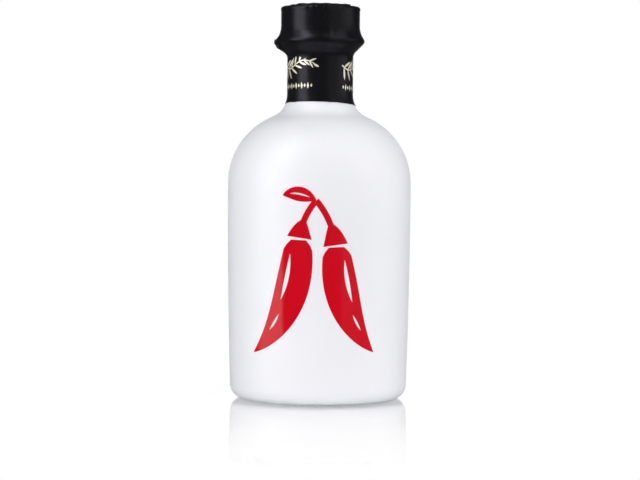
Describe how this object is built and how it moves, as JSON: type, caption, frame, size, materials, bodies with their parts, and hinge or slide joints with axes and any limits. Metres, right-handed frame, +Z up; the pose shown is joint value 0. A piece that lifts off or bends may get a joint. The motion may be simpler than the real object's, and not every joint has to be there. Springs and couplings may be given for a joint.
{
  "type": "bottle of chili olive oil",
  "caption": "Round-shouldered white lacquered glass oil bottle with a short neck and stopper, sealed by a black shrink capsule.",
  "frame": {"origin": "centre of the ring the bottle stands on, at the level of the table", "axes": "+Z up along the bottle's axis, -Y towards the front, where the print is, +X to the right of the front"},
  "size_m": [0.0672, 0.0672, 0.1446],
  "materials": {
    "lacquered_glass": "opaque white satin lacquer",
    "stopper": "matte",
    "capsule_film": "satin shrink film"
  },
  "bodies": {
    "root": {"bottle": "lacquered_glass", "stopper": "stopper", "capsule_disc": "capsule_film", "capsule_sleeve": "capsule_film"}
  },
  "joints": []
}
